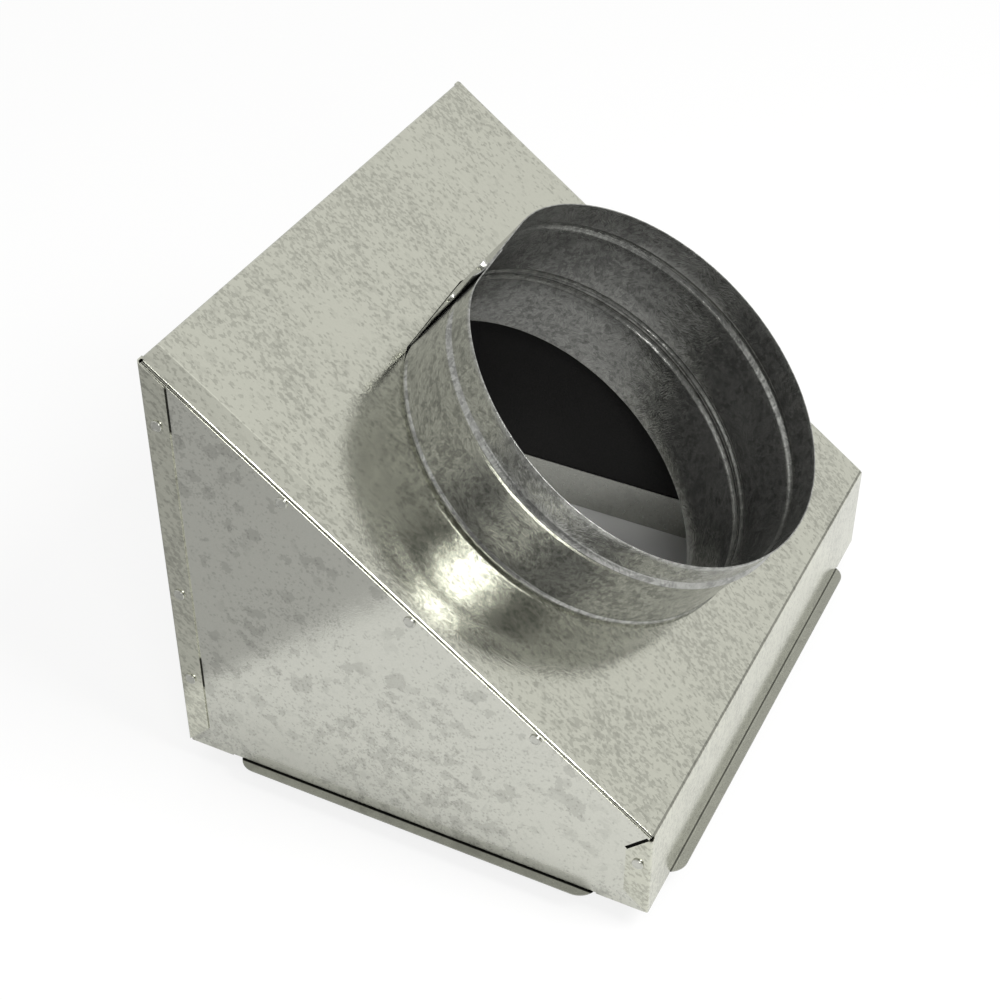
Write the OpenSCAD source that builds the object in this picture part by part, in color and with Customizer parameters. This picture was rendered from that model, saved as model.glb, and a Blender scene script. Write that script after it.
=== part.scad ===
// Insulated register box: a folded steel box with a tall back wall, a sloping face that carries a
// round duct collar, a low front wall and two side panels. Insulation boards line it, and four
// rails frame the register opening underneath.
// X runs along the width, Y from the low front wall to the tall back wall, and Z up.
// The origin is the middle of the register opening, in the plane that the walls stand on.

/* [Steel box] */
// Width over the two side panels
shell_w = 304.8; // [285:0.1:380]
// Depth over the front and back walls
shell_d = 254; // [244:0.1:320]
// Height of the back wall
back_h = 235; // [205:0.5:250]
// Height of the front wall
front_h = 50.8; // [44:0.1:75]
// Thickness of the sheet steel
sheet_t = 0.6; // [0.45:0.05:0.9]
// Outside radius of the bends between walls
wall_bend_r = 1.6; // [1.3:0.1:2.4]
// Outside radius of the tight folds along the slope and at the bottom
fold_r = 1.2; // [1:0.1:1.4]
// Width of the back wall's flanges that lap the side panels
back_flange_w = 13.3; // [11:0.1:16]
// Width of the front wall's flanges that lap the side panels
front_flange_w = 12.5; // [11:0.1:15]
// Width of the flange turned down inside the side panels along the slope
slope_flange_w = 12.7; // [10:0.1:15]
// Width of the flanges turned in at the bottom of the walls
foot_flange_w = 12.7; // [10:0.1:16]
// How far the mitred top of a front flange stays below the front wall's top edge
front_flange_drop = 1.5; // [1.2:0.1:5]
// Height at which the lower mitre of a front flange ends
front_flange_foot = 11; // [8:0.1:14]
// Width of the relief slot in the side panel over a front flange
corner_slot_w = 1.4; // [0.8:0.1:2]

/* [Duct collar] */
// Outside diameter of the collar
collar_d = 203.2; // [196:0.1:206]
// Thickness of the collar's sheet
collar_t = 0.6; // [0.45:0.05:0.8]
// Distance from the back wall's top edge to the collar's middle, along the slope
collar_from_back = 176.5; // [172:0.1:184]
// Sideways offset of the collar from the middle
collar_offset = 6.4; // [-12:0.1:12]
// Height of the rim above the slope
collar_out = 60.5; // [56:0.5:75]
// Depth of the collar's inner end below the slope
collar_in = 46.4; // [36:0.1:50]
// Height of the stop bead above the slope
stop_bead_at = 42; // [34:0.5:46]
// Width of the stop bead
stop_bead_w = 7; // [4:0.1:8]
// Width of the locking bead that rests on the slope
top_bead_w = 4; // [3:0.1:6]
// Width of the locking bead that grips the slope from inside
under_bead_w = 6; // [4:0.1:8]
// Height of the stop bead and the inner locking bead over the collar's wall
bead_h = 1.6; // [1:0.1:2.4]
// Height of the locking bead that rests on the slope, over the collar's wall
top_bead_h = 1; // [0.6:0.1:1.6]
// Radius that blends the circle into the flat
seam_blend_r = 40; // [34:1:42]
// Angle that the blend turns through
seam_blend_a = 25; // [24:0.5:27]
// Turn of the lap seam around the collar, from straight up the slope
seam_turn = 3.4; // [-15:0.1:15]
// Distance from the middle of the flat to the lap's outer edge
seam_edge_u = 29; // [26:0.5:30]
// Width of the overlap at the seam
seam_lap_w = 28; // [24:0.5:32]
// Distance from the middle of the flat at which the outer edge starts to curl away
seam_curl_u = 16; // [16:0.1:18]
// Angle that the outer edge curls away by
seam_curl_a = 4; // [2:0.5:5]
// Radius of that curl
seam_curl_r = 28; // [12:1:30]
// Height above the slope at which the curl begins
seam_curl_foot = 1.4; // [1:0.1:4]
// Room between the seam and the straight edge of the slope's hole
seam_edge_gap = 0.3; // [0.2:0.1:0.8]

/* [Insulation] */
// Thickness of the insulation boards
liner_t = 25.4; // [19:0.1:28]
// Room left between the boards and the steel
liner_gap = 0.4; // [0.35:0.05:1]
// Room left around the collar's beads in the sloping board
liner_hole_gap = 0.6; // [0.3:0.1:3]

/* [Rails] */
// Height of a rail's inner leg above the bottom plane
rail_cap_h = 14.5; // [10:0.1:22]
// Depth of a rail's doubled skirt below the bottom plane
rail_skirt_h = 12.7; // [8:0.1:20]
// How far the rails reach out past the walls
rail_overhang = 5.2; // [3:0.1:12]
// Radius of the outer corners of a rail
rail_corner_r = 10; // [5:0.5:14]
// Length by which a side rail stops short at the back
side_rail_cut = 3.5; // [0.5:0.1:8]
// Thickness of the rail strip
rail_t = 0.6; // [0.45:0.05:0.9]
// Gap inside a rail's folded skirt
hem_gap = 0.3; // [0.2:0.05:0.5]

/* [Clinch buttons] */
// Diameter of a button's raised face
button_d = 5.8; // [4.8:0.1:6]
// Height of a button's raised face
button_h = 1; // [0.6:0.1:1.4]
// Height of the lowest button on a back flange
back_button_low = 45.7; // [30:0.1:60]
// Rise from the lowest to the next button on a back flange
back_button_rise = 55.3; // [40:0.1:65]
// Rise from that button to the top one on a back flange
back_button_top_rise = 99.5; // [80:0.1:100]
// Distance from the back wall's top edge to the first button below the slope
slope_button_start = 89.4; // [70:0.1:100]
// Spacing of the buttons below the slope
slope_button_step = 77.4; // [60:0.1:85]
// Distance of those buttons below the slope, square to it
slope_button_drop = 4.8; // [4.6:0.1:8]
// Height of the button on a front flange
front_button_at = 32.3; // [22:0.1:34]
// Distance of the collar's buttons from the middle of its flat
seam_button_u = 13; // [9:0.1:13]
// Height above the slope of the lower button on the collar's seam
seam_button_low = 27; // [12:0.5:30]
// Distance of the upper button on the collar's seam from the rim
seam_button_inset = 5.5; // [4:0.1:7]

/* [Hidden] */

$fn = 96;
LEFT = -1;
RIGHT = 1;
BACK = 1;
FRONT = -1;

// Clearance between sheets that lie on each other
lap_gap = 0.05;
// Clearance of a clinched button in its sheets
button_gap = 0.03;
// Thickness of a button's inner rim
button_rim_t = 0.3;
// Extra length of a cutting tool past the metal
over = 5;
// Straight pieces in a bend's outline
bend_steps = 6;
// Straight pieces in a bead's outline
bead_steps = 6;
// Steps in which a bead fades out towards the lap seam
fade_steps = 3;
// Angle by which the stretches of the collar's wall run into each other
wall_bite_a = 0.5;
// Difference in thickness between stretches that run into each other, on each face
wall_step = 0.02;
// Length by which the seam's flat layers run into the bends beside them
seam_bite = 0.35;
// Length by which the seam's curl runs into the flat
seam_curl_bite = 1;
// Width of the slit under the seam's curl
seam_slit_w = 0.2;

slope_a = atan2(back_h - front_h, shell_d);
slope_len = norm([back_h - front_h, shell_d]);
half_w = shell_w / 2;
half_d = shell_d / 2;
collar_r = collar_d / 2;

// Outer face of the flanges that lap the side panels
lap_x = half_w + lap_gap + sheet_t;
// Outer face of the slope's flange, inside the side panels
inner_x = half_w - sheet_t - lap_gap;

// Faces of the insulation boards
liner_out_x = inner_x - sheet_t - liner_gap;
liner_in_x = liner_out_x - liner_t;
liner_out_inset = sheet_t + liner_gap;
liner_in_inset = liner_out_inset + liner_t;
liner_in_y = half_d - liner_in_inset;
liner_base_z = sheet_t + liner_gap;

// Inner faces of the rails' upright legs
side_leg_x = liner_in_x - lap_gap - rail_t;
end_leg_y = liner_in_y - lap_gap - rail_t;

// Where the sheets lie between the collar's locking beads
under_bead_at = -sheet_t - lap_gap - under_bead_w / 2;
top_bead_at = lap_gap + top_bead_w / 2;

// Two layers of sheet, gripped by a button
grip = 2 * sheet_t + lap_gap;
button_shank_r = button_d / 2 - 0.5;

// Height of the slope at depth y, for a line that lies inset below its outer face
function slope_z(y, inset) = front_h + (y + half_d) * tan(slope_a) - inset / cos(slope_a);

function unit(v) = v / norm(v);
function direction(a) = [cos(a), sin(a)];

// Smallest signed turn from angle a to angle b
function turn(a, b) = (b - a > 180) ? b - a - 360 : (b - a < -180) ? b - a + 360 : b - a;

// Half of the angle between the two sides that meet at point q
function half_angle(p, q, s) = acos(unit(p - q) * unit(s - q)) / 2;

// The point inside corner q that lies at the given distance from both of its sides
function inner_point(p, q, s, dist) =
    q + unit(unit(p - q) + unit(s - q)) * dist / sin(half_angle(p, q, s));

// Arc of radius r in the corner at q, between the sides that come from p and go to s
function corner_arc(p, q, s, r) =
    let (
        centre = inner_point(p, q, s, r),
        reach = r / tan(half_angle(p, q, s)),
        from = q + unit(p - q) * reach - centre,
        to = q + unit(s - q) * reach - centre,
        a = atan2(from.y, from.x),
        sweep = turn(a, atan2(to.y, to.x))
    )
    [for (i = [0:bend_steps]) centre + r * direction(a + sweep * i / bend_steps)];

// A path's corners rounded to radius r
function rounded(path, r) = [
    path[0],
    for (i = [1:len(path) - 2]) each corner_arc(path[i - 1], path[i], path[i + 1], r),
    path[len(path) - 1]
];

// The path that lies at distance t inside a path whose corners all turn the same way
function inside(path, t) =
    let (
        n = len(path) - 1,
        side = sign(cross(path[1] - path[0], path[2] - path[1])),
        start = unit(path[1] - path[0]),
        end = unit(path[n] - path[n - 1])
    )
    [
        path[0] + side * t * [-start.y, start.x],
        for (i = [1:n - 1]) inner_point(path[i - 1], path[i], path[i + 1], t),
        path[n] + side * t * [-end.y, end.x]
    ];

function reversed(v) = [for (i = [len(v) - 1:-1:0]) v[i]];

// Cross-section of a sheet folded along a path that follows its outer face
module folded_section(path, t, r) {
    polygon(concat(rounded(path, r), reversed(rounded(inside(path, t), r - t))));
}

// Drawing in the Y-Z plane, made w wide and centred on x
module across(x, w) {
    translate([x - w / 2, 0, 0])
        rotate([90, 0, 90])
            linear_extrude(w)
                children();
}

// Drawing in the X-Z plane, made d deep and centred on y
module along_depth(y, d) {
    translate([0, y + d / 2, 0])
        rotate([90, 0, 0])
            linear_extrude(d)
                children();
}

// Frame on the slope's outer face, x across, y up the slope and z square to it.
// Its origin lies at the given distance from the back wall's top edge.
module on_slope(from_back) {
    translate([0, half_d - from_back * cos(slope_a), back_h - from_back * sin(slope_a)])
        rotate([slope_a, 0, 0])
            children();
}

module on_collar() {
    on_slope(collar_from_back)
        translate([collar_offset, 0, 0])
            children();
}

// Frame on the outside of the lap seam's overlap: z points out of the collar and y to its rim
module on_seam(height) {
    on_collar()
        rotate(seam_turn)
            translate([-seam_button_u, seam_flat_d(true), height])
                rotate([-90, 0, 0])
                    children();
}

// Buttons

// One clinched button: its raised face stands on z = 0 and it grips the sheets below
module button(depth) {
    r = button_d / 2;
    edge = button_h * 0.3;
    dish = button_h * 0.15;
    rotate_extrude()
        polygon([
            [0, button_h - dish],
            [r * 0.6, button_h - dish],
            [r * 0.72, button_h],
            [r - edge, button_h],
            [r, button_h - edge],
            [r, lap_gap],
            [button_shank_r, lap_gap],
            [button_shank_r, -depth - lap_gap],
            [r - lap_gap, -depth - lap_gap],
            [r - lap_gap, -depth - button_rim_t],
            [0, -depth - button_rim_t]
        ]);
}

// Hole that a button fills, cut through sheets below z = 0
module button_hole(depth) {
    translate([0, 0, -depth - over / 2])
        cylinder(r = button_shank_r + button_gap, h = depth + over);
}

function back_button_heights() = [
    back_button_low,
    back_button_low + back_button_rise,
    back_button_low + back_button_rise + back_button_top_rise
];

// Each of these stands its children on a side's outer face, once at every button
module at_back_buttons(side) {
    for (z = back_button_heights())
        translate([side * lap_x, half_d - back_flange_w / 2, z])
            rotate([0, side * 90, 0])
                children();
}

module at_slope_buttons(side) {
    for (i = [0:2])
        on_slope(slope_button_start + i * slope_button_step)
            translate([side * half_w, 0, -slope_button_drop])
                rotate([0, side * 90, 0])
                    children();
}

module at_front_button(side) {
    translate([side * lap_x, -half_d + front_flange_w / 2, front_button_at])
        rotate([0, side * 90, 0])
            children();
}

module at_seam_buttons() {
    for (height = [seam_button_low, collar_out - seam_button_inset])
        on_seam(height)
            children();
}

module each_side_button(side) {
    at_back_buttons(side) children();
    at_slope_buttons(side) children();
    at_front_button(side) children();
}

// Steel box

// Lengths that the bends at the slope's two ends take out of it
back_run = wall_bend_r / tan((90 - slope_a) / 2);
front_run = wall_bend_r / tan((90 + slope_a) / 2);

// Height at which the walls pass into their turned feet
foot_top = 2 * fold_r;
// Half length of the feet along X and along Y
foot_half_x = liner_in_x;
foot_half_y = liner_in_y;

// Path of the wrapped sheet's outer face, up the back, down the slope and down the front
wall_path = [[half_d, fold_r], [half_d, back_h], [-half_d, front_h], [-half_d, fold_r]];

// Path of the foot fold of a wall whose outer face stands at x = face
function foot_path(face) = [[face, foot_top + fold_r], [face, 0], [face - foot_flange_w, 0]];

// Outline of a back flange: mitred where it meets the slope and at its foot
module back_flange_outline() {
    w = back_flange_w;
    polygon([
        [half_d, 0],
        [half_d, back_h - wall_bend_r],
        [half_d - w, slope_z(half_d - w, fold_r) - sheet_t],
        [half_d - w, w]
    ]);
}

// Inner end of a front flange's upper mitre, and its outer end near the wall's top
front_mitre_y = front_flange_w - half_d;
front_mitre_out = wall_bend_r + 0.4 - half_d;
front_mitre_top = front_h - front_flange_drop;
front_mitre_z = front_mitre_top - (front_mitre_y - front_mitre_out);

// Outline of a front flange: mitred at both of its ends
module front_flange_outline() {
    polygon([
        [-half_d, 0],
        [-half_d, front_mitre_top],
        [front_mitre_out, front_mitre_top],
        [front_mitre_y, front_mitre_z],
        [front_mitre_y, front_flange_foot]
    ]);
}

// One of the two flanges that lap a side panel, with its bend: end is BACK or FRONT
module lap_flange(side, end) {
    w = (end == BACK) ? back_flange_w : front_flange_w;
    path = [[lap_x - 3 * wall_bend_r, half_d], [lap_x, half_d], [lap_x, half_d - w]];
    intersection() {
        scale([side, end, 1])
            linear_extrude(back_h)
                folded_section(path, sheet_t, wall_bend_r);
        across(side * half_w, 8 * wall_bend_r)
            if (end == BACK) back_flange_outline();
            else front_flange_outline();
    }
}

// The flange folded down inside a side panel, with its fold and its mitred ends
module slope_flange(side) {
    w = slope_flange_w;
    path = [[inner_x - 3 * fold_r, 0], [inner_x, 0], [inner_x, -w]];
    on_slope(0)
        intersection() {
            scale([side, 1, 1])
                translate([0, -back_run, 0])
                    rotate([90, 0, 0])
                        linear_extrude(slope_len - back_run - front_run)
                            folded_section(path, sheet_t, fold_r);
            across(side * half_w, 8 * fold_r)
                polygon([
                    [0, over],
                    [-slope_len, over],
                    [-slope_len, -fold_r],
                    [-slope_len + front_run, -fold_r],
                    [-slope_len + front_run + w, -w - fold_r],
                    [-back_run - w, -w - fold_r],
                    [-back_run, -fold_r],
                    [0, -fold_r]
                ]);
        }
}

// Flange turned in along the bottom of the back or front wall
module wall_foot(end) {
    scale([1, end, 1])
        across(0, 2 * foot_half_x)
            folded_section(foot_path(half_d), sheet_t, fold_r);
}

// Stretches of the back or front wall beyond the slope's width and beyond the foot
module wall_ends(end, height) {
    side_w = lap_x - wall_bend_r;
    for (side = [LEFT, RIGHT])
        scale([side, end, 1])
            translate([foot_half_x, half_d - sheet_t, 0])
                cube([side_w - foot_half_x, sheet_t, height]);
}

// Hole for the collar: round, and straight along the lap seam
module collar_hole() {
    rotate(seam_turn)
        intersection() {
            translate([0, 0, -over]) cylinder(r = collar_r + lap_gap, h = 2 * over);
            translate([-collar_d, -collar_d, -over])
                cube([2 * collar_d, collar_d + hole_flat_d(), 2 * over]);
        }
}

module wrap_sheet() {
    color([0.74, 0.75, 0.70])
        difference() {
            union() {
                across(0, 2 * (inner_x - fold_r)) folded_section(wall_path, sheet_t, wall_bend_r);
                wall_ends(BACK, back_h - back_run);
                wall_ends(FRONT, front_h - front_run);
                for (side = [LEFT, RIGHT]) {
                    lap_flange(side, BACK);
                    lap_flange(side, FRONT);
                    slope_flange(side);
                }
                for (end = [BACK, FRONT]) wall_foot(end);
            }
            on_collar() collar_hole();
            for (side = [LEFT, RIGHT]) each_side_button(side) button_hole(grip);
        }
}

// Side panel: a flat sheet that ends short of the bends, with its foot turned in
module side_panel(side) {
    end_y = half_d - wall_bend_r - lap_gap;
    drop = fold_r + lap_gap;
    slot = corner_slot_w * sin(45);
    color([0.70, 0.71, 0.67])
        difference() {
            union() {
                across(side * (half_w - sheet_t / 2), sheet_t) {
                    polygon([
                        [end_y, foot_top],
                        [end_y, slope_z(end_y, drop)],
                        [-end_y, slope_z(-end_y, drop)],
                        [-end_y, foot_top]
                    ]);
                    for (y = [-end_y, foot_half_y])
                        translate([y, 0]) square([end_y - foot_half_y, 2 * foot_top]);
                }
                scale([side, 1, 1])
                    along_depth(0, 2 * foot_half_y)
                        folded_section(foot_path(half_w), sheet_t, fold_r);
            }
            across(side * half_w, over)
                polygon([
                    [front_mitre_y, front_mitre_z],
                    [front_mitre_y + slot, front_mitre_z + slot],
                    [front_mitre_out + slot, front_mitre_top + slot],
                    [front_mitre_out, front_mitre_top]
                ]);
            each_side_button(side) button_hole(grip);
        }
}

module side_panel_left() {
    side_panel(LEFT);
}

module side_panel_right() {
    side_panel(RIGHT);
}

// Duct collar

// Extra reach of the lap's outer layer over its inner layer
function seam_grip() = collar_t + lap_gap;

// Distance of the flat's outer face from the middle, for the lap's inner and outer layer
function seam_flat_d(outer) =
    collar_r - (collar_r - seam_blend_r) * (1 - cos(seam_blend_a)) + (outer ? seam_grip() : 0);

// Radius of the bend from the circle into the flat, for either layer
function layer_blend_r(outer) = collar_r - (collar_r - seam_flat_d(outer)) / (1 - cos(seam_blend_a));

// Half the length of the flat
function seam_flat_half(outer) = (collar_r - layer_blend_r(outer)) * sin(seam_blend_a);

// Distance from the middle to the straight edge of the slope's hole, and half that edge's length
function hole_flat_d() = seam_flat_d(true) + seam_edge_gap;
function hole_half() = sqrt(pow(collar_r + lap_gap, 2) - pow(hole_flat_d(), 2));

// Height of a bead over the wall at height z: a smooth hump, w wide and h high
function hump(z, middle, w, h) =
    (abs(z - middle) >= w / 2) ? 0 : h * (1 + cos(360 * (z - middle) / w)) / 2;

function bead_levels(middle, w) = [for (i = [0:bead_steps]) middle - w / 2 + w * i / bead_steps];

function wall_levels() = concat(
    [-collar_in],
    bead_levels(under_bead_at, under_bead_w),
    bead_levels(top_bead_at, top_bead_w),
    bead_levels(stop_bead_at, stop_bead_w),
    [collar_out]
);

function bead_out(z) =
    hump(z, under_bead_at, under_bead_w, bead_h)
    + hump(z, top_bead_at, top_bead_w, top_bead_h)
    + hump(z, stop_bead_at, stop_bead_w, bead_h);

// Section of the collar's wall at outside radius r, its beads at a share of their height.
// A slim wall is thinner by wall_step on each face.
module collar_section(r, share, slim) {
    levels = wall_levels();
    outer_r = r - (slim ? wall_step : 0);
    inner_r = r - collar_t + (slim ? wall_step : 0);
    polygon(concat(
        [for (z = levels) [outer_r + share * bead_out(z), z]],
        [for (z = reversed(levels)) [inner_r + share * bead_out(z), z]]
    ));
}

// Stretch of wall that turns about its own middle, from one angle to another
module wall_arc(r, from, to, share, slim) {
    rotate_extrude(angle = to - from, start = from)
        collar_section(r, share, slim);
}

// The bend from the circle into the flat, where the beads fade out in steps.
// hand is 1 towards the lap's inner layer and -1 towards its outer layer.
module seam_blend(hand) {
    r = layer_blend_r(hand < 0);
    step = seam_blend_a / fade_steps;
    centre_d = collar_r - r;
    translate([-hand * centre_d * sin(seam_blend_a), centre_d * cos(seam_blend_a), 0])
        for (i = [0:fade_steps - 1])
            let (
                near = 90 + hand * (seam_blend_a - i * step + wall_bite_a),
                far = 90 + hand * (seam_blend_a - (i + 1) * step),
                share = 1 - (i + 1) / fade_steps
            )
            wall_arc(r, min(near, far), max(near, far), share, i % 2 == 0);
}

// Flat layer of the lap. Its children outline it, x sideways and y towards the rim.
module seam_plate(outer) {
    translate([0, seam_flat_d(outer), 0])
        rotate([90, 0, 0])
            linear_extrude(collar_t)
                children();
}

// Outline of the inner layer
module seam_inner_outline() {
    start = -seam_flat_half(false) - seam_bite;
    translate([start, -collar_in])
        square([seam_lap_w - seam_edge_u - start, collar_in + collar_out]);
}

// Outline of the outer layer: above the slope it ends where the curl begins
module seam_outer_outline() {
    end = seam_flat_half(true) + seam_bite;
    foot_edge = min(seam_edge_u, hole_half() - 1);
    translate([-seam_curl_u, -collar_in]) square([seam_curl_u + end, collar_in + collar_out]);
    translate([-foot_edge, -collar_in]) square([foot_edge, collar_in + seam_curl_foot - seam_slit_w]);
}

// The outer layer's free edge, which curls away from the inner layer
module seam_curl() {
    reach = seam_curl_r * tan(seam_curl_a / 2);
    face = seam_flat_d(true) - collar_t + wall_step;
    bend_x = -seam_curl_u - reach;
    run = seam_edge_u - seam_curl_u - reach;
    path = [
        [seam_curl_bite - seam_curl_u, face],
        [bend_x, face],
        [bend_x - run * cos(seam_curl_a), face + run * sin(seam_curl_a)]
    ];
    translate([0, 0, seam_curl_foot])
        linear_extrude(collar_out - seam_curl_foot)
            folded_section(path, collar_t - 2 * wall_step, seam_curl_r);
}

module collar() {
    color([0.68, 0.70, 0.66])
        difference() {
            on_collar()
                rotate(seam_turn) {
                    wall_arc(collar_r, 90 + seam_blend_a, 450 - seam_blend_a, 1, false);
                    seam_blend(1);
                    seam_blend(-1);
                    seam_plate(false) seam_inner_outline();
                    seam_plate(true) seam_outer_outline();
                    seam_curl();
                }
            at_seam_buttons() button_hole(2 * collar_t + lap_gap);
        }
}

// Insulation

// Corners of the boards' outline, inset below the walls and the slope
function liner_back_foot(inset) = [half_d - inset, liner_base_z];
function liner_back_top(inset) = [half_d - inset, slope_z(half_d - inset, inset)];
function liner_front_top(inset) = [-half_d + inset, slope_z(-half_d + inset, inset)];
function liner_front_foot(inset) = [-half_d + inset, liner_base_z];

// Board between the side boards, its outline running from the steel to the air
module middle_board(outer, inner) {
    color([0.10, 0.10, 0.10])
        across(0, 2 * (liner_in_x - lap_gap))
            polygon(concat(outer, reversed(inner)));
}

module liner_back() {
    middle_board(
        [liner_back_foot(liner_out_inset), liner_back_top(liner_out_inset)],
        [liner_back_foot(liner_in_inset), liner_back_top(liner_in_inset)]
    );
}

module liner_slope() {
    difference() {
        middle_board(
            [liner_back_top(liner_out_inset), liner_front_top(liner_out_inset)],
            [liner_back_top(liner_in_inset), liner_front_top(liner_in_inset)]
        );
        on_collar()
            translate([0, 0, -2 * liner_in_inset])
                cylinder(r = collar_r + bead_h + liner_hole_gap, h = 3 * liner_in_inset);
    }
}

module liner_front() {
    middle_board(
        [liner_front_top(liner_out_inset), liner_front_foot(liner_out_inset)],
        [liner_front_top(liner_in_inset), liner_front_foot(liner_in_inset)]
    );
}

module side_board(side) {
    color([0.10, 0.10, 0.10])
        across(side * (liner_out_x + liner_in_x) / 2, liner_t)
            polygon([
                liner_back_foot(liner_out_inset),
                liner_back_top(liner_out_inset),
                liner_front_top(liner_out_inset),
                liner_front_foot(liner_out_inset)
            ]);
}

module liner_left() {
    side_board(LEFT);
}

module liner_right() {
    side_board(RIGHT);
}

// Rails

// Section of a rail: its upright leg's inner face stands at x = 0.
// The leg's foot is folded back up beside itself, as far as the flange under the walls.
module rail_section() {
    foot_r = rail_t + hem_gap / 2;
    foot_z = -rail_skirt_h + foot_r;
    difference() {
        union() {
            translate([0, foot_z]) square([rail_t, rail_cap_h - foot_z]);
            translate([rail_t, foot_z]) square([hem_gap + rail_t, -foot_z]);
            translate([foot_r, foot_z]) circle(r = foot_r);
        }
        translate([rail_t, foot_z]) square([hem_gap, over - foot_z]);
        translate([foot_r, foot_z]) circle(r = hem_gap / 2);
    }
}

// The flange under a wall, with its outer corners rounded
module rail_flange(length, reach) {
    r = rail_corner_r;
    start = rail_t + hem_gap;
    translate([0, 0, -rail_t])
        linear_extrude(rail_t) {
            translate([start, -length / 2]) square([reach - start - r, length]);
            translate([start, -length / 2 + r]) square([reach - start, length - 2 * r]);
            for (end = [BACK, FRONT])
                translate([reach - r, end * (length / 2 - r)]) circle(r = r);
        }
}

// A rail along Y, leg_x from the middle to its leg's inner face
module rail(leg_x, reach, length) {
    translate([leg_x, 0, 0]) {
        along_depth(0, length) rail_section();
        rail_flange(length, reach);
    }
}

module side_rail(side) {
    reach = half_w + rail_overhang - side_leg_x;
    color([0.72, 0.73, 0.70])
        scale([side, 1, 1])
            translate([0, -side_rail_cut / 2, 0])
                rail(side_leg_x, reach, 2 * (end_leg_y - lap_gap) - side_rail_cut);
}

module end_rail(end) {
    reach = half_d + rail_overhang - end_leg_y;
    color([0.72, 0.73, 0.70])
        rotate(end * 90)
            rail(end_leg_y, reach, 2 * (side_leg_x + rail_t));
}

module rail_back() {
    end_rail(BACK);
}

module rail_front() {
    end_rail(FRONT);
}

module rail_left() {
    side_rail(LEFT);
}

module rail_right() {
    side_rail(RIGHT);
}

// Groups of clinch buttons

module clinch_back_left() {
    color([0.78, 0.79, 0.76]) at_back_buttons(LEFT) button(grip);
}

module clinch_back_right() {
    color([0.78, 0.79, 0.76]) at_back_buttons(RIGHT) button(grip);
}

module clinch_slope_left() {
    color([0.78, 0.79, 0.76]) at_slope_buttons(LEFT) button(grip);
}

module clinch_slope_right() {
    color([0.78, 0.79, 0.76]) at_slope_buttons(RIGHT) button(grip);
}

module clinch_front_left() {
    color([0.78, 0.79, 0.76]) at_front_button(LEFT) button(grip);
}

module clinch_front_right() {
    color([0.78, 0.79, 0.76]) at_front_button(RIGHT) button(grip);
}

module clinch_collar_seam() {
    color([0.78, 0.79, 0.76]) at_seam_buttons() button(2 * collar_t + lap_gap);
}

wrap_sheet();
side_panel_left();
side_panel_right();
collar();
liner_back();
liner_slope();
liner_front();
liner_left();
liner_right();
rail_back();
rail_front();
rail_left();
rail_right();
clinch_back_left();
clinch_back_right();
clinch_slope_left();
clinch_slope_right();
clinch_front_left();
clinch_front_right();
clinch_collar_seam();
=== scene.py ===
"""Insulated register box in galvanised sheet steel: looks, camera and light.

Metres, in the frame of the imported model: X across, Y from the low front wall to the tall back
wall, Z up from the register opening.
"""

import math

import bpy
from mathutils import Matrix, Vector


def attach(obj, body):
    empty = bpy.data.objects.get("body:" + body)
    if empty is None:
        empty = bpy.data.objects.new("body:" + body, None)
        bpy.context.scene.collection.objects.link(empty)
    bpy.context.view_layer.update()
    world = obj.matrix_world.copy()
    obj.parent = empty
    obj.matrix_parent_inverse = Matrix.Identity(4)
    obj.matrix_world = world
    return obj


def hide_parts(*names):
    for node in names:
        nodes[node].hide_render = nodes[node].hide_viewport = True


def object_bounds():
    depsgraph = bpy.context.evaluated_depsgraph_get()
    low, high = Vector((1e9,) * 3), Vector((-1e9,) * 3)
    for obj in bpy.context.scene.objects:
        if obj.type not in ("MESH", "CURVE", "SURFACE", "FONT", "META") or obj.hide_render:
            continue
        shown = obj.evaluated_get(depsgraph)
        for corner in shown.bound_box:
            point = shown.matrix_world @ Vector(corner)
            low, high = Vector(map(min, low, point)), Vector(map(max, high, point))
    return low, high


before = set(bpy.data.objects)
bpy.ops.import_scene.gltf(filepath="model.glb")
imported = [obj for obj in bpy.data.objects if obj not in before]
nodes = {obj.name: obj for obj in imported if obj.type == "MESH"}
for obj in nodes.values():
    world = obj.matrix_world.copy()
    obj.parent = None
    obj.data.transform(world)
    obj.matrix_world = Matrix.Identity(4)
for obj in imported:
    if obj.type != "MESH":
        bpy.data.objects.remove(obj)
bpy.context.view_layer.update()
scene = bpy.context.scene

MM = 0.001

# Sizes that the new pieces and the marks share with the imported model
SHELL_D = 254.0 * MM
BACK_H = 235.0 * MM
FRONT_H = 50.8 * MM
SLOPE_A = math.atan2(BACK_H - FRONT_H, SHELL_D)
COLLAR_R = 101.6 * MM
COLLAR_T = 0.6 * MM
COLLAR_OUT = 60.5 * MM
COLLAR_IN = 46.4 * MM
COLLAR_X = 6.4 * MM
COLLAR_DOWN = 176.5 * MM
SEAM_TURN = math.radians(3.4)
SEAM_EDGE = 29.0 * MM
SEAM_LAP = 28.0 * MM
SEAM_CURL = 16.0 * MM
BLEND_A = math.radians(25.0)
BLEND_R = 40.0 * MM
BOARD_OUT_X = 150.75 * MM
BOARD_IN_X = 125.35 * MM
BOARD_OUT = 1.0 * MM
BOARD_IN = 26.4 * MM
BOARD_FOOT = 1.0 * MM
WALL_X = 152.4 * MM
WALL_Y = SHELL_D / 2


# Frames

def slope_frame():
    """Frame on the slope's outer face at the back wall's top edge.

    Y runs up the slope and Z square to it.
    """
    turn = Matrix.Rotation(SLOPE_A, 4, "X")
    return Matrix.Translation((0, SHELL_D / 2, BACK_H)) @ turn


def collar_frame():
    """Frame at the collar's middle on the slope's outer face, its Y through the lap seam."""
    return (
        slope_frame()
        @ Matrix.Translation((COLLAR_X, -COLLAR_DOWN, 0))
        @ Matrix.Rotation(SEAM_TURN, 4, "Z")
    )


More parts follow.
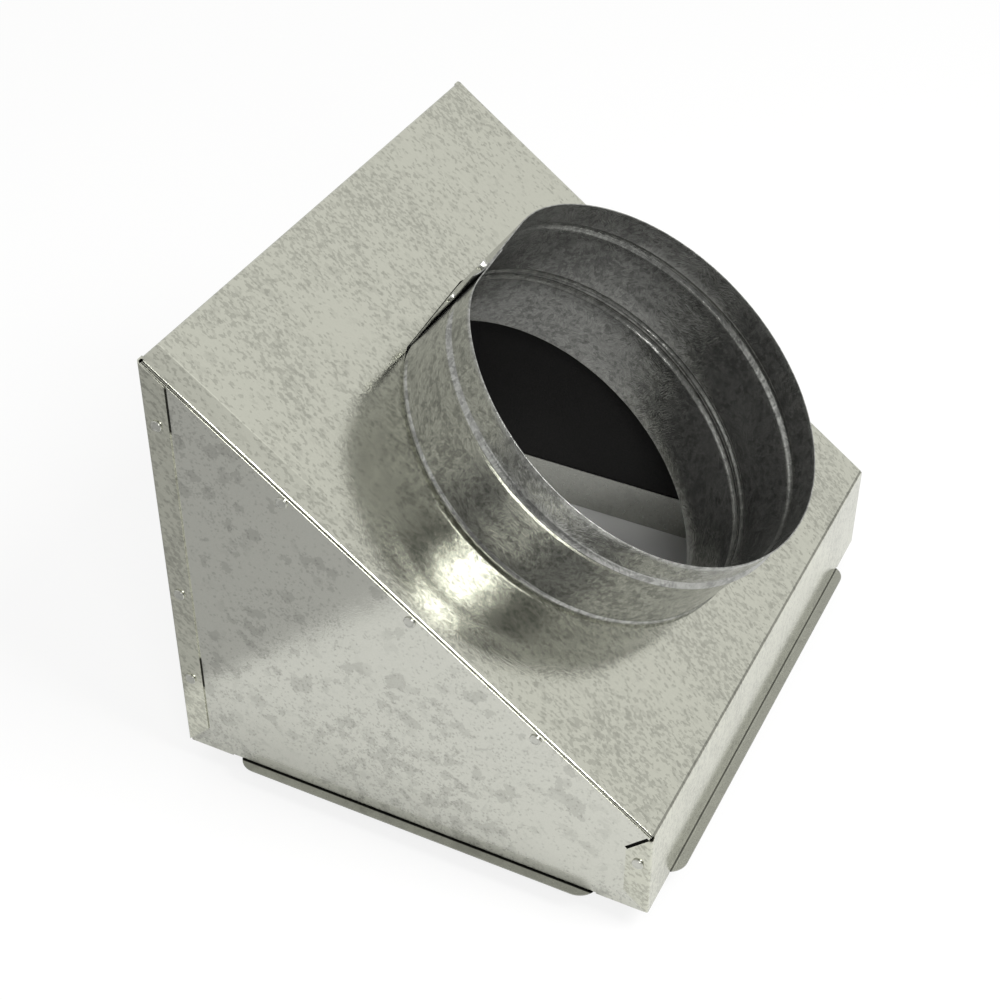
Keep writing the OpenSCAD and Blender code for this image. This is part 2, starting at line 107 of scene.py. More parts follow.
# Modelling helpers

def deselect():
    if bpy.context.mode != "OBJECT":
        bpy.ops.object.mode_set(mode="OBJECT")
    bpy.ops.object.select_all(action="DESELECT")


def take(piece):
    """Selects one piece alone and makes it active."""
    deselect()
    piece.select_set(True)
    bpy.context.view_layer.objects.active = piece


def select_edges(piece, test):
    """Selects the edges whose two ends pass a test, in edit mode."""
    bpy.ops.object.mode_set(mode="OBJECT")
    for part in (piece.data.vertices, piece.data.edges, piece.data.polygons):
        part.foreach_set("select", [False] * len(part))
    points = piece.data.vertices
    for edge in piece.data.edges:
        edge.select = all(test(points[i].co) for i in edge.vertices)
    bpy.ops.object.mode_set(mode="EDIT")
    bpy.ops.mesh.select_mode(type="EDGE")


def apply_modifiers(piece):
    take(piece)
    for modifier in list(piece.modifiers):
        bpy.ops.object.modifier_apply(modifier=modifier.name)


def place(piece, matrix):
    """Puts a piece where a frame stands and leaves its object at the origin."""
    take(piece)
    piece.matrix_world = matrix @ piece.matrix_world
    bpy.ops.object.transform_apply(location=True, rotation=True, scale=True)


def outward(piece):
    """Turns a closed piece's normals outward."""
    take(piece)
    bpy.ops.object.mode_set(mode="EDIT")
    bpy.ops.mesh.select_all(action="SELECT")
    bpy.ops.mesh.normals_make_consistent(inside=False)
    bpy.ops.object.mode_set(mode="OBJECT")


def smooth(piece, degrees):
    take(piece)
    bpy.ops.object.shade_smooth_by_angle(angle=math.radians(degrees))


# Collar

BEAD_H = 1.6 * MM
# Each bead's height above the slope, its width and how far it stands out
BEADS = (
    (-3.65 * MM, 6 * MM, BEAD_H),
    (2.05 * MM, 4 * MM, 1.0 * MM),
    (42 * MM, 7 * MM, BEAD_H),
)
# Rows of the sheet in a bead, as shares of half its width
BEAD_STEPS = (0.0, 0.12, 0.28, 0.5, 0.72, 0.88)
# Rows of the sheet between the beads, in millimetres above the slope
WALL_ROWS = (-36, -26, -16, 14, 23, 32, 50, 54, 57.5)
SHEET_COLUMNS = 260
# Roundness of a bead's crest, and the share of half its width that eases into the wall
CREST = 0.02
FOOT = 0.3
# Points in a bend beside the flat and in the round part
BEND_STEPS = 12
ROUND_STEPS = 180
# Gap between the lap's layers
LAP_GAP = 0.05 * MM
# The beads start this far before the first bend, end this far past the start of the last one,
# and rise and fade over a run at both ends
FADE_BEFORE = 2 * MM
FADE_PAST = 16 * MM
FADE_RUN = 30 * MM
# How far the flat is pressed in at the rim, how far from it that ends, and the run it eases over
TAPER_IN = 1.7 * MM
TAPER_REACH = 62 * MM
TAPER_RUN = 36 * MM
# The free edge's lift, in a low part and a high part with their own runs
CURL_LOW = 1.3 * MM
CURL_LOW_RUN = 24 * MM
CURL_HIGH = 0.9 * MM
CURL_HIGH_FOOT = 40 * MM
CURL_HIGH_RUN = 21 * MM
CURL_OUT = 2.2 * MM


def ease(value):
    """Rises smoothly from 0 to 1 as value goes from 0 to 1."""
    value = max(0.0, min(1.0, value))
    return value * value * (3 - 2 * value)


def bead(height, middle, width):
    """Share of a bead's height: straight flanks, a narrow rounded crest and soft feet."""
    away = abs(height - middle) / (width / 2)
    if away >= 1:
        return 0.0
    edge = math.sqrt(1 + CREST)
    crest = (edge - math.sqrt(away * away + CREST)) / (edge - math.sqrt(CREST))
    return crest * ease((1 - away) / FOOT)


def seam_layer(outer):
    """Distance of the flat from the middle and radius of the blend, for a layer of the lap."""
    grip = COLLAR_T + LAP_GAP if outer else 0.0
    flat = COLLAR_R - (COLLAR_R - BLEND_R) * (1 - math.cos(BLEND_A)) + grip
    blend = COLLAR_R - (COLLAR_R - flat) / (1 - math.cos(BLEND_A))
    return flat, blend


def collar_path():
    """Points along the collar's outer face, from the lap's inner edge round to its outer edge.

    Also gives the path lengths at which the first bend begins and the last one begins, and the
    whole length.
    """
    flat_in, blend_in = seam_layer(False)
    flat_out, blend_out = seam_layer(True)
    half_in = (COLLAR_R - blend_in) * math.sin(BLEND_A)
    half_out = (COLLAR_R - blend_out) * math.sin(BLEND_A)
    inner_edge = SEAM_EDGE - SEAM_LAP
    points = []

    def arc(cx, cy, r, start, end, steps):
        for i in range(steps):
            a = math.radians(start) + math.radians(end - start) * (i + 0.5) / steps
            points.append((cx + r * math.cos(a), cy + r * math.sin(a)))

    turn = math.degrees(BLEND_A)
    rise_in = (COLLAR_R - blend_in) * math.cos(BLEND_A)
    rise_out = (COLLAR_R - blend_out) * math.cos(BLEND_A)
    points.append((-inner_edge, flat_in))
    points.append((-half_in, flat_in))
    arc(-half_in, rise_in, blend_in, 90, 90 + turn, BEND_STEPS)
    arc(0, 0, COLLAR_R, 90 + turn, 450 - turn, ROUND_STEPS)
    arc(half_out, rise_out, blend_out, 450 - turn, 450, BEND_STEPS)
    points.append((half_out, flat_out))
    points.append((-SEAM_EDGE, flat_out))
    flat_end = half_in - inner_edge
    arc_start = flat_end + BLEND_A * blend_in
    arc_end = arc_start + (2 * math.pi - 2 * BLEND_A) * COLLAR_R
    total = arc_end + BLEND_A * blend_out + half_out + SEAM_EDGE
    return points, flat_end, arc_end, total


def weigh(piece, name, share):
    """A vertex group whose weight is a share of 0 to 1 by place."""
    group = piece.vertex_groups.new(name=name)
    for point in piece.data.vertices:
        group.add([point.index], max(0.0, min(1.0, share(point.co))), "REPLACE")


def push(piece, name, distance):
    """Moves a weighted group along the piece's own Y."""
    mod = piece.modifiers.new(name, "DISPLACE")
    mod.direction = "Y"
    mod.mid_level = 0
    mod.strength = distance
    mod.vertex_group = name


def make_collar():
    points, flat_end, arc_end, total = collar_path()

    # A flat blank, as wide as the way round and as high as the collar
    levels = {-COLLAR_IN, COLLAR_OUT}
    for middle, width, height in BEADS:
        for step in BEAD_STEPS:
            levels.update(round(middle + side * step * width / 2, 7) for side in (-1, 1))
        levels.update((round(middle - width / 2, 7), round(middle + width / 2, 7)))
    levels.update(h * MM for h in WALL_ROWS)
    levels = sorted(levels)
    deselect()
    bpy.ops.mesh.primitive_grid_add(x_subdivisions=SHEET_COLUMNS, y_subdivisions=1, size=1)
    blank = bpy.context.object
    blank.name = "collar_sheet"
    bpy.ops.transform.resize(value=(total, levels[1] - levels[0], 1))
    bpy.ops.transform.rotate(value=math.radians(-90), orient_axis="X", center_override=(0, 0, 0))
    bpy.ops.transform.translate(value=(total / 2, 0, (levels[0] + levels[1]) / 2))
    bpy.ops.object.transform_apply(location=True, rotation=True, scale=True)
    for low, high in zip(levels[1:], levels[2:]):
        select_edges(blank, lambda co, z=low: abs(co.z - z) < 1e-6)
        bpy.ops.mesh.extrude_region_move(TRANSFORM_OT_translate={"value": (0, 0, high - low)})
    bpy.ops.object.mode_set(mode="OBJECT")
    uv = blank.data.uv_layers[0]
    uv.name = "sheet"
    for loop in blank.data.loops:
        co = blank.data.vertices[loop.vertex_index].co
        uv.data[loop.index].uv = (co.x, co.z)

    # The beads, pressed out and fading towards the lap
    def fade(x):
        return ease(min(x - flat_end + FADE_BEFORE, arc_end + FADE_PAST - x) / FADE_RUN)

    def pressed(co):
        share = sum(bead(co.z, middle, width) * height / BEAD_H for middle, width, height in BEADS)
        return share * fade(co.x)

    # The flat is pressed in further towards the rim
    def taper(co):
        beside = min(co.x + SEAM_EDGE - SEAM_LAP, abs(total - co.x - SEAM_EDGE))
        return ease((TAPER_REACH - beside) / TAPER_RUN) * co.z / COLLAR_OUT

    # The free edge stands off the layer below, most of all at the rim
    def curl(co):
        run = (SEAM_EDGE - SEAM_CURL - (total - co.x)) / (SEAM_EDGE - SEAM_CURL)
        low = CURL_LOW * ease(co.z / CURL_LOW_RUN)
        high = CURL_HIGH * ease((co.z - CURL_HIGH_FOOT) / CURL_HIGH_RUN)
        return max(0.0, run) ** 2 * (low + high) / CURL_OUT

    weigh(blank, "beads", pressed)
    weigh(blank, "taper", taper)
    weigh(blank, "curl", curl)
    push(blank, "beads", -BEAD_H)

    # Rolled up along the path
    curve = bpy.data.curves.new("collar_path", "CURVE")
    curve.dimensions = "2D"
    spline = curve.splines.new("POLY")
    spline.points.add(len(points) - 1)
    for i, (x, y) in enumerate(points):
        spline.points[i].co = (x, y, 0, 1)
    path = bpy.data.objects.new("collar_path", curve)
    scene.collection.objects.link(path)
    roll = blank.modifiers.new("roll", "CURVE")
    roll.object = path
    roll.deform_axis = "POS_X"
    push(blank, "taper", -TAPER_IN)
    push(blank, "curl", CURL_OUT)
    thicken = blank.modifiers.new("thicken", "SOLIDIFY")
    thicken.thickness = COLLAR_T
    thicken.offset = -1
    apply_modifiers(blank)
    bpy.data.objects.remove(path)
    return blank


def round_edges(piece, width, degrees=60, segments=2):
    mod = piece.modifiers.new("edges", "BEVEL")
    mod.width = width
    mod.segments = segments
    mod.limit_method = "ANGLE"
    mod.angle_limit = math.radians(degrees)
    apply_modifiers(piece)


def settle(piece, node):
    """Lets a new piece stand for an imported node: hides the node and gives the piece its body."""
    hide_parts(node)
    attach(piece, "root")


collar = make_collar()
outward(collar)
round_edges(collar, width=0.12 * MM)
smooth(collar, 35)
place(collar, collar_frame())
settle(collar, "collar")


# Insulation boards

BOARD_GAP = 0.05 * MM
HOLE_R = COLLAR_R + 2.2 * MM
BOARD_EDGE = 1.2 * MM
BOARD_LUMP = 30 * MM
BOARD_UNEVEN = 0.5 * MM


def slope_z(y, inset):
    """Height of the slope at depth y, for a line that lies inset below its outer face."""
    return FRONT_H + (y + SHELL_D / 2) * math.tan(SLOPE_A) - inset / math.cos(SLOPE_A)


def board_corners(inset):
    """The lining's outline in the Y-Z plane, at a distance inside the steel.

    Its corners are the back foot, the back top, the front top and the front foot.
    """
    back = SHELL_D / 2 - inset
    return [
        (back, BOARD_FOOT),
        (back, slope_z(back, inset)),
        (-back, slope_z(-back, inset)),
        (-back, BOARD_FOOT),
    ]


def make_board(name, x0, x1, corners):
    """A board along X: a cube whose four long edges are moved to the corners in the Y-Z plane."""
    deselect()
    bpy.ops.mesh.primitive_cube_add(size=2)
    board = bpy.context.object
    board.name = name
    starts = ((1, -1), (1, 1), (-1, 1), (-1, -1))
    for (y0, z0), (y, z) in zip(starts, corners):
        select_edges(board, lambda co, y0=y0, z0=z0: abs(co.y - y0) < 1e-5 and abs(co.z - z0) < 1e-5)
        bpy.ops.transform.translate(value=(0, y - y0, z - z0))
    bpy.ops.object.mode_set(mode="OBJECT")
    bpy.ops.transform.resize(value=((x1 - x0) / 2, 1, 1), center_override=(0, 0, 0))
    bpy.ops.transform.translate(value=((x0 + x1) / 2, 0, 0))
    bpy.ops.object.transform_apply(location=True, rotation=True, scale=True)
    outward(board)
    return board


def dress_board(board):
    """Rounds a board's edges and lets its facing lie slightly uneven."""
    round_edges(board, width=BOARD_EDGE, degrees=30, segments=3)
    take(board)
    bpy.ops.object.mode_set(mode="EDIT")
    bpy.ops.mesh.select_all(action="SELECT")
    bpy.ops.mesh.subdivide(number_cuts=5)
    bpy.ops.mesh.quads_convert_to_tris()
    bpy.ops.object.mode_set(mode="OBJECT")
    lumps = bpy.data.textures.new(board.name + "_lumps", "CLOUDS")
    lumps.noise_scale = BOARD_LUMP
    mod = board.modifiers.new("uneven", "DISPLACE")
    mod.texture = lumps
    mod.texture_coords = "LOCAL"
    mod.strength = BOARD_UNEVEN
    mod.mid_level = 1.0
    apply_modifiers(board)
    smooth(board, 40)
    settle(board, board.name.replace("board", "liner"))


outer = board_corners(BOARD_OUT)
inner = board_corners(BOARD_IN)
middle_x = BOARD_IN_X - BOARD_GAP
boards = [
    make_board("board_back", -middle_x, middle_x, [outer[0], outer[1], inner[1], inner[0]]),
    make_board("board_slope", -middle_x, middle_x, [outer[1], outer[2], inner[2], inner[1]]),
    make_board("board_front", -middle_x, middle_x, [outer[2], outer[3], inner[3], inner[2]]),
    make_board("board_left", -BOARD_OUT_X, -BOARD_IN_X, outer),
    make_board("board_right", BOARD_IN_X, BOARD_OUT_X, outer),
]

# The sloping board's round hole
deselect()
bpy.ops.mesh.primitive_cylinder_add(vertices=96, radius=HOLE_R, depth=200 * MM)
cutter = bpy.context.object
place(cutter, collar_frame())
hole = boards[1].modifiers.new("hole", "BOOLEAN")
hole.object = cutter
hole.operation = "DIFFERENCE"
apply_modifiers(boards[1])
bpy.data.objects.remove(cutter)
for board in boards:
    dress_board(board)


# Materials

FULL_TURN = 6.283


def new_material(name):
    material = bpy.data.materials.new(name)
    material.use_nodes = True
    tree = material.node_tree
    shader = tree.nodes["Principled BSDF"]
    return material, tree, shader


def add(tree, kind, inputs=(), **settings):
    """A node with its settings and plain input values."""
    made = tree.nodes.new(kind)
    for key, value in settings.items():
        setattr(made, key, value)
    for key, value in dict(inputs).items():
        made.inputs[key].default_value = value
    return made


def join(tree, source, target):
    tree.links.new(source, target)


def group_tree(name, inputs, outputs):
    """An empty shader group: inputs as (name, kind, default), outputs as (name, kind)."""
    tree = bpy.data.node_groups.new(name, "ShaderNodeTree")
    for label, kind, value in inputs:
        socket = tree.interface.new_socket(name=label, in_out="INPUT", socket_type=kind)
        socket.default_value = value
    for label, kind in outputs:
        tree.interface.new_socket(name=label, in_out="OUTPUT", socket_type=kind)
    return tree, tree.nodes.new("NodeGroupInput"), tree.nodes.new("NodeGroupOutput")


def ramp(tree, source, stops, mode="LINEAR"):
    """A colour ramp of grey stops, each a position and a value."""
    made = tree.nodes.new("ShaderNodeValToRGB")
    made.color_ramp.interpolation = mode
    elements = made.color_ramp.elements
    while len(elements) < len(stops):
        elements.new(0.5)
    for element, (position, value) in zip(elements, stops):
        element.position = position
        element.color = (value, value, value, 1) if isinstance(value, (int, float)) else value
    join(tree, source, made.inputs["Fac"])
    return made.outputs["Color"]


def zinc_group():
    """Hot-dip zinc in masks: flecks, larger blotches, feathery crystals and fine grain."""
    tree, given, result = group_tree(
        "zinc_finish",
        [
            ("Vector", "NodeSocketVector", (0, 0, 0)),
            ("Fleck Scale", "NodeSocketFloat", 600.0),
            ("Fleck Share", "NodeSocketFloat", 0.3),
            ("Blotch Scale", "NodeSocketFloat", 150.0),
            ("Blotch Share", "NodeSocketFloat", 0.2),
            ("Feather Scale", "NodeSocketFloat", 110.0),
        ],
        [
            ("Flecks", "NodeSocketFloat"),
            ("Blotches", "NodeSocketFloat"),
            ("Feather", "NodeSocketFloat"),
            ("Grain", "NodeSocketFloat"),
        ],
    )

    def scaled(label):
        made = add(tree, "ShaderNodeVectorMath", operation="SCALE")
        join(tree, given.outputs["Vector"], made.inputs[0])
        join(tree, given.outputs[label], made.inputs["Scale"])
        return made.outputs[0]

    def ragged_cells(where, reach):
        """Random values in cells with ragged borders."""
        tear = add(tree, "ShaderNodeTexNoise", {"Scale": 1.7, "Detail": 4.0, "Roughness": 0.65})
        join(tree, where, tear.inputs["Vector"])
        centred = add(tree, "ShaderNodeVectorMath", {1: (0.5, 0.5, 0.5)}, operation="SUBTRACT")
        join(tree, tear.outputs["Color"], centred.inputs[0])
        moved = add(tree, "ShaderNodeVectorMath", {1: (reach, reach, reach)}, operation="MULTIPLY_ADD")
        join(tree, centred.outputs[0], moved.inputs[0])
        join(tree, where, moved.inputs[2])
        cells = add(tree, "ShaderNodeTexVoronoi", {"Scale": 1.0}, feature="F1")
        join(tree, moved.outputs[0], cells.inputs["Vector"])
        shares = add(tree, "ShaderNodeSeparateColor")
        join(tree, cells.outputs["Color"], shares.inputs[0])
        return shares

    # Flecks and blotches crowd together in some places
    crowd = add(tree, "ShaderNodeTexNoise", {"Scale": 16.0, "Detail": 3.0, "Roughness": 0.6})
    join(tree, given.outputs["Vector"], crowd.inputs["Vector"])
    often = ramp(tree, crowd.outputs["Fac"], [(0.32, 0.15), (0.68, 1.7)])

    def below(value, label):
        """1 where a cell's value is under the share that is crowded here."""
        limit = add(tree, "ShaderNodeMath", operation="MULTIPLY")
        join(tree, often, limit.inputs[0])
        join(tree, given.outputs[label], limit.inputs[1])
        gap = add(tree, "ShaderNodeMath", operation="SUBTRACT")
        join(tree, limit.outputs[0], gap.inputs[0])
        join(tree, value, gap.inputs[1])
        mask = add(tree, "ShaderNodeMapRange", {"From Min": -0.03, "From Max": 0.09})
        join(tree, gap.outputs[0], mask.inputs["Value"])
        return mask.outputs[0]

    flecks = ragged_cells(scaled("Fleck Scale"), reach=1.3)
    join(tree, below(flecks.outputs["Red"], "Fleck Share"), result.inputs["Flecks"])
    blotches = ragged_cells(scaled("Blotch Scale"), reach=1.6)
    join(tree, below(blotches.outputs["Green"], "Blotch Share"), result.inputs["Blotches"])

    # Feathery crystals: strokes that run another way in each crystal
    where = scaled("Feather Scale")
    crystal = ragged_cells(where, reach=0.8)
    angle = add(tree, "ShaderNodeMath", {1: FULL_TURN}, operation="MULTIPLY")
    join(tree, crystal.outputs["Blue"], angle.inputs[0])
    swung = add(tree, "ShaderNodeVectorRotate", rotation_type="Z_AXIS")
    join(tree, where, swung.inputs["Vector"])
    join(tree, angle.outputs[0], swung.inputs["Angle"])
    drawn = add(tree, "ShaderNodeVectorMath", {1: (9.0, 2.2, 9.0)}, operation="MULTIPLY")
    join(tree, swung.outputs[0], drawn.inputs[0])
    strokes = add(tree, "ShaderNodeTexNoise", {
        "Scale": 1.0, "Detail": 2.0, "Roughness": 0.6, "Distortion": 0.6,
    })
    join(tree, drawn.outputs[0], strokes.inputs["Vector"])
    join(tree, ramp(tree, strokes.outputs["Fac"], [(0.36, 0.0), (0.66, 1.0)]), result.inputs["Feather"])

    fine = add(tree, "ShaderNodeTexNoise", {"Scale": 1.6, "Detail": 3.0, "Roughness": 0.75})
    join(tree, scaled("Fleck Scale"), fine.inputs["Vector"])
    join(tree, fine.outputs["Fac"], result.inputs["Grain"])
    return tree


ZINC = zinc_group()


def darken(tree, colour, mask, depth):
    """Multiplies a colour by 1 less a mask's share of depth."""
    keep = add(tree, "ShaderNodeMath", {1: -depth, 2: 1.0}, operation="MULTIPLY_ADD")
    join(tree, mask, keep.inputs[0])
    made = add(tree, "ShaderNodeVectorMath", operation="SCALE")
    join(tree, colour, made.inputs[0])
    join(tree, keep.outputs[0], made.inputs["Scale"])
    return made.outputs[0]


def zinc_material(
    name, colour, rough, stretch=(1, 1, 1), turn=(0, 0, 0), uv=False,
    fleck=(600.0, 0.3, 0.12), blotch=(150.0, 0.2, 0.08), feather=(110.0, 0.0), grain=0.10,
    relief=0.02, wave=0.0,
):
    """Galvanised steel.

    fleck and blotch give a scale, a share and a depth, feather a scale and a depth. rough is the
    lowest and the highest roughness, relief the bump of the crystals and wave that of the sheet.
    Gives the material, its tree, its shader and the place that its patterns are laid out by.
    """
    material, tree, shader = new_material(name)
    shader.inputs["Metallic"].default_value = 1.0
    if uv:
        where = add(tree, "ShaderNodeUVMap", uv_map="sheet").outputs["UV"]
    else:
        where = add(tree, "ShaderNodeTexCoord").outputs["Object"]
    laid = add(tree, "ShaderNodeMapping", {"Rotation": turn})
    join(tree, where, laid.inputs["Vector"])
    drawn = add(tree, "ShaderNodeVectorMath", {1: stretch}, operation="MULTIPLY")
    join(tree, laid.outputs[0], drawn.inputs[0])
    zinc = add(tree, "ShaderNodeGroup", node_tree=ZINC)
    for label, value in (
        ("Fleck Scale", fleck[0]), ("Fleck Share", fleck[1]), ("Blotch Scale", blotch[0]),
        ("Blotch Share", blotch[1]), ("Feather Scale", feather[0]),
    ):
        zinc.inputs[label].default_value = value
    join(tree, drawn.outputs[0], zinc.inputs["Vector"])

    base = add(tree, "ShaderNodeRGB")
    base.outputs[0].default_value = (*colour, 1)
    tone = base.outputs[0]
    for label, depth in (
        ("Flecks", fleck[2]), ("Blotches", blotch[2]), ("Feather", feather[1]), ("Grain", grain),
    ):
        tone = darken(tree, tone, zinc.outputs[label], depth)
    join(tree, tone, shader.inputs["Base Color"])

    spread = add(tree, "ShaderNodeMapRange", {
        "From Min": 0.3, "From Max": 0.7, "To Min": rough[0], "To Max": rough[1],
    })
    join(tree, zinc.outputs["Grain"], spread.inputs["Value"])
    join(tree, spread.outputs[0], shader.inputs["Roughness"])

    crystals = add(tree, "ShaderNodeMath", operation="ADD")
    join(tree, zinc.outputs["Feather"], crystals.inputs[0])
    join(tree, zinc.outputs["Grain"], crystals.inputs[1])
    fine = add(tree, "ShaderNodeBump", {"Strength": relief, "Distance": 0.001})
    join(tree, crystals.outputs[0], fine.inputs["Height"])
    swell = add(tree, "ShaderNodeTexNoise", {"Scale": 7.0, "Detail": 1.0})
    join(tree, laid.outputs[0], swell.inputs["Vector"])
    slow = add(tree, "ShaderNodeBump", {"Strength": wave, "Distance": 0.02})
    join(tree, swell.outputs["Fac"], slow.inputs["Height"])
    join(tree, fine.outputs[0], slow.inputs["Normal"])
    join(tree, slow.outputs[0], shader.inputs["Normal"])
    return material, tree, shader, where


def mark(tree, shader, mask, depth):
    """Darkens the base colour by a mask's share of depth, or brightens it where depth is negative."""
    tone = shader.inputs["Base Color"].links[0].from_socket
    join(tree, darken(tree, tone, mask, depth), shader.inputs["Base Color"])


def axes(tree, where):
    parts = add(tree, "ShaderNodeSeparateXYZ")
    join(tree, where, parts.inputs[0])
    return parts.outputs["X"], parts.outputs["Y"], parts.outputs["Z"]


def math_of(tree, operation, first, second):
    """A math node; either side is a socket or a number."""
    made = add(tree, "ShaderNodeMath", operation=operation)
    for slot, value in enumerate((first, second)):
        if isinstance(value, (int, float)):
            made.inputs[slot].default_value = value
        else:
            join(tree, value, made.inputs[slot])
    return made.outputs[0]


def slide(tree, value, start, end):
    """Rises from 0 to 1 as a value goes from start to end."""
    made = add(tree, "ShaderNodeMapRange", {"From Min": start, "From Max": end})
    join(tree, value, made.inputs["Value"])
    return made.outputs[0]


def times(tree, first, second):
    """The product of two values."""
    return math_of(tree, "MULTIPLY", first, second)


def span(tree, value, low, high, soft):
    """1 where a value lies between low and high, falling off over soft on both sides."""
    return times(
        tree, slide(tree, value, low - soft, low), slide(tree, value, high + soft, high)
    )


def dull_foot(tree, shader, z):
    """Roughens the lowest edge of a wall, so that it doesn't mirror the rail beside it."""
    rough = shader.inputs["Roughness"].links[0].from_socket
    more = times(tree, slide(tree, z, start=10 * MM, end=2 * MM), 0.40)
    join(tree, math_of(tree, "ADD", rough, more), shader.inputs["Roughness"])


def streaks(tree, where, scale, low, high):
    """Long thin marks from 0 to 1, drawn out by an uneven scale."""
    drawn = add(tree, "ShaderNodeVectorMath", {1: scale}, operation="MULTIPLY")
    join(tree, where, drawn.inputs[0])
    noise = add(tree, "ShaderNodeTexNoise", {"Scale": 1.0, "Detail": 2.0, "Roughness": 0.6})
    join(tree, drawn.outputs[0], noise.inputs["Vector"])
    return slide(tree, noise.outputs["Fac"], low, high)


def shell_material():
    """The wrapped sheet: flecks drawn out down the slope, scratches from handling, and painted shade,
    light and highlights at its folds, on its front wall and on its left back flange.
    """
    material, tree, shader, where = zinc_material(
        "shell_zinc", (0.74, 0.745, 0.64), (0.12, 0.17),
        stretch=(1.0, 0.6, 1.0), turn=(-SLOPE_A, 0, 0),
        fleck=(900.0, 0.34, 0.23), blotch=(430.0, 0.26, 0.11), grain=0.16, wave=0.02,
    )
    x, y, z = axes(tree, where)

    # Painted shade where the brake left the sheet slightly bent along the slope's left edge, and a
    # painted highlight on the crease beside it, strongest at the top
    up_slope = slide(tree, y, start=10 * MM, end=110 * MM)
    off_back = slide(tree, y, start=WALL_Y - 0.8 * MM, end=WALL_Y - 1.4 * MM)
    near_top = times(tree, up_slope, off_back)
    bend_shade = span(tree, x, low=0.5 * MM - WALL_X, high=13.8 * MM - WALL_X, soft=0.8 * MM)
    mark(tree, shader, times(tree, bend_shade, near_top), depth=0.18)
    crease_highlight = span(tree, x, low=14.1 * MM - WALL_X, high=14.5 * MM - WALL_X, soft=0.3 * MM)
    mark(tree, shader, times(tree, crease_highlight, near_top), depth=-0.25)

    # Fine bright scratches down the slope
    laid = add(tree, "ShaderNodeMapping", {"Rotation": (-SLOPE_A, 0, 0)})
    join(tree, where, laid.inputs["Vector"])
    scratches = streaks(tree, laid.outputs[0], scale=(900.0, 14.0, 14.0), low=0.68, high=0.76)
    mark(tree, shader, scratches, depth=-0.10)

    # The front wall: upright streaks, painted light that makes its face brighter, and a painted dark
    # reflection along its top fold
    on_front = slide(tree, y, start=0.8 * MM - WALL_Y, end=0.4 * MM - WALL_Y)
    upright = streaks(tree, where, scale=(520.0, 1.0, 18.0), low=0.42, high=0.64)
    mark(tree, shader, times(tree, upright, on_front), depth=0.09)
    # Painted light: the front face drawn brighter
    mark(tree, shader, slide(tree, y, start=0.8 * MM - WALL_Y, end=0.1 * MM - WALL_Y), depth=-0.13)
    # Painted dark reflection along the top fold
    fold_reflection = span(tree, y, low=0.4 * MM - WALL_Y, high=1.0 * MM - WALL_Y, soft=0.3 * MM)
    at_top = slide(tree, z, start=48.0 * MM, end=49.5 * MM)
    mark(tree, shader, times(tree, fold_reflection, at_top), depth=0.5)

    # The left back flange: painted light, brighter towards its foot
    on_left = slide(tree, x, start=0.2 * MM - WALL_X, end=-0.2 * MM - WALL_X)
    low_down = slide(tree, z, start=110 * MM, end=40 * MM)
    at_back = slide(tree, y, start=100 * MM, end=110 * MM)
    flange_foot_light = times(tree, on_left, low_down)
    mark(tree, shader, times(tree, flange_foot_light, at_back), depth=-0.16)
    return material


def panel_material():
    """The side panels: uneven patches, most of them low down, and painted shade in the gaps beside the
    back flange.
    """
    material, tree, shader, where = zinc_material(
        "panel_zinc", (0.77, 0.775, 0.70), (0.10, 0.15),
        fleck=(900.0, 0.17, 0.20), blotch=(175.0, 0.22, 0.17), grain=0.18, wave=0.02,
    )
    _, y, z = axes(tree, where)
    clouds = add(tree, "ShaderNodeTexNoise", {
        "Scale": 90.0, "Detail": 4.0, "Roughness": 0.7, "Distortion": 1.2,
    })
    join(tree, where, clouds.inputs["Vector"])
    patches = slide(tree, clouds.outputs["Fac"], start=0.54, end=0.62)
    low_down = slide(tree, z, start=150 * MM, end=30 * MM)
    mark(tree, shader, times(tree, patches, low_down), depth=0.10)

    # Painted shade in the gap where the back flange stands off the panel, high up and low down
    beside_flange = span(tree, y, low=113 * MM, high=115 * MM, soft=0.2 * MM)
    for low, high in ((199 * MM, 222 * MM), (43 * MM, 61 * MM)):
        gap = times(tree, beside_flange, span(tree, z, low, high, soft=2 * MM))
        mark(tree, shader, gap, depth=0.95)
    dull_foot(tree, shader, z)
    return material


def rail_material():
    """The rails: duller strip, with painted shade on the flange and a painted shadow in the gap between
    the flange and the wall's foot.
    """
    material, tree, shader, where = zinc_material(
        "rail_zinc", (0.66, 0.665, 0.61), (0.25, 0.35),
        fleck=(500.0, 0.10, 0.10), blotch=(160.0, 0.15, 0.06), grain=0.10,
    )
    x, y, _ = axes(tree, where)
    out_x = math_of(tree, "SUBTRACT", math_of(tree, "ABSOLUTE", x, 0.0), WALL_X)
    out_y = math_of(tree, "SUBTRACT", math_of(tree, "ABSOLUTE", y, 0.0), WALL_Y)
    # Painted shade on the flange beyond the wall's foot
    flange_shade = slide(tree, math_of(tree, "MAXIMUM", out_x, out_y), start=0.4 * MM, end=1.2 * MM)
    mark(tree, shader, flange_shade, depth=0.26)
    # Painted shadow in the gap under the wall's foot, along the sides and at the ends
    side_gap_shadow = span(tree, out_x, low=-0.4 * MM, high=0.8 * MM, soft=0.4 * MM)
    mark(tree, shader, side_gap_shadow, depth=0.97)
    end_gap_shadow = span(tree, out_y, low=-0.4 * MM, high=0.3 * MM, soft=0.4 * MM)
    mark(tree, shader, end_gap_shadow, depth=0.75)
    return material


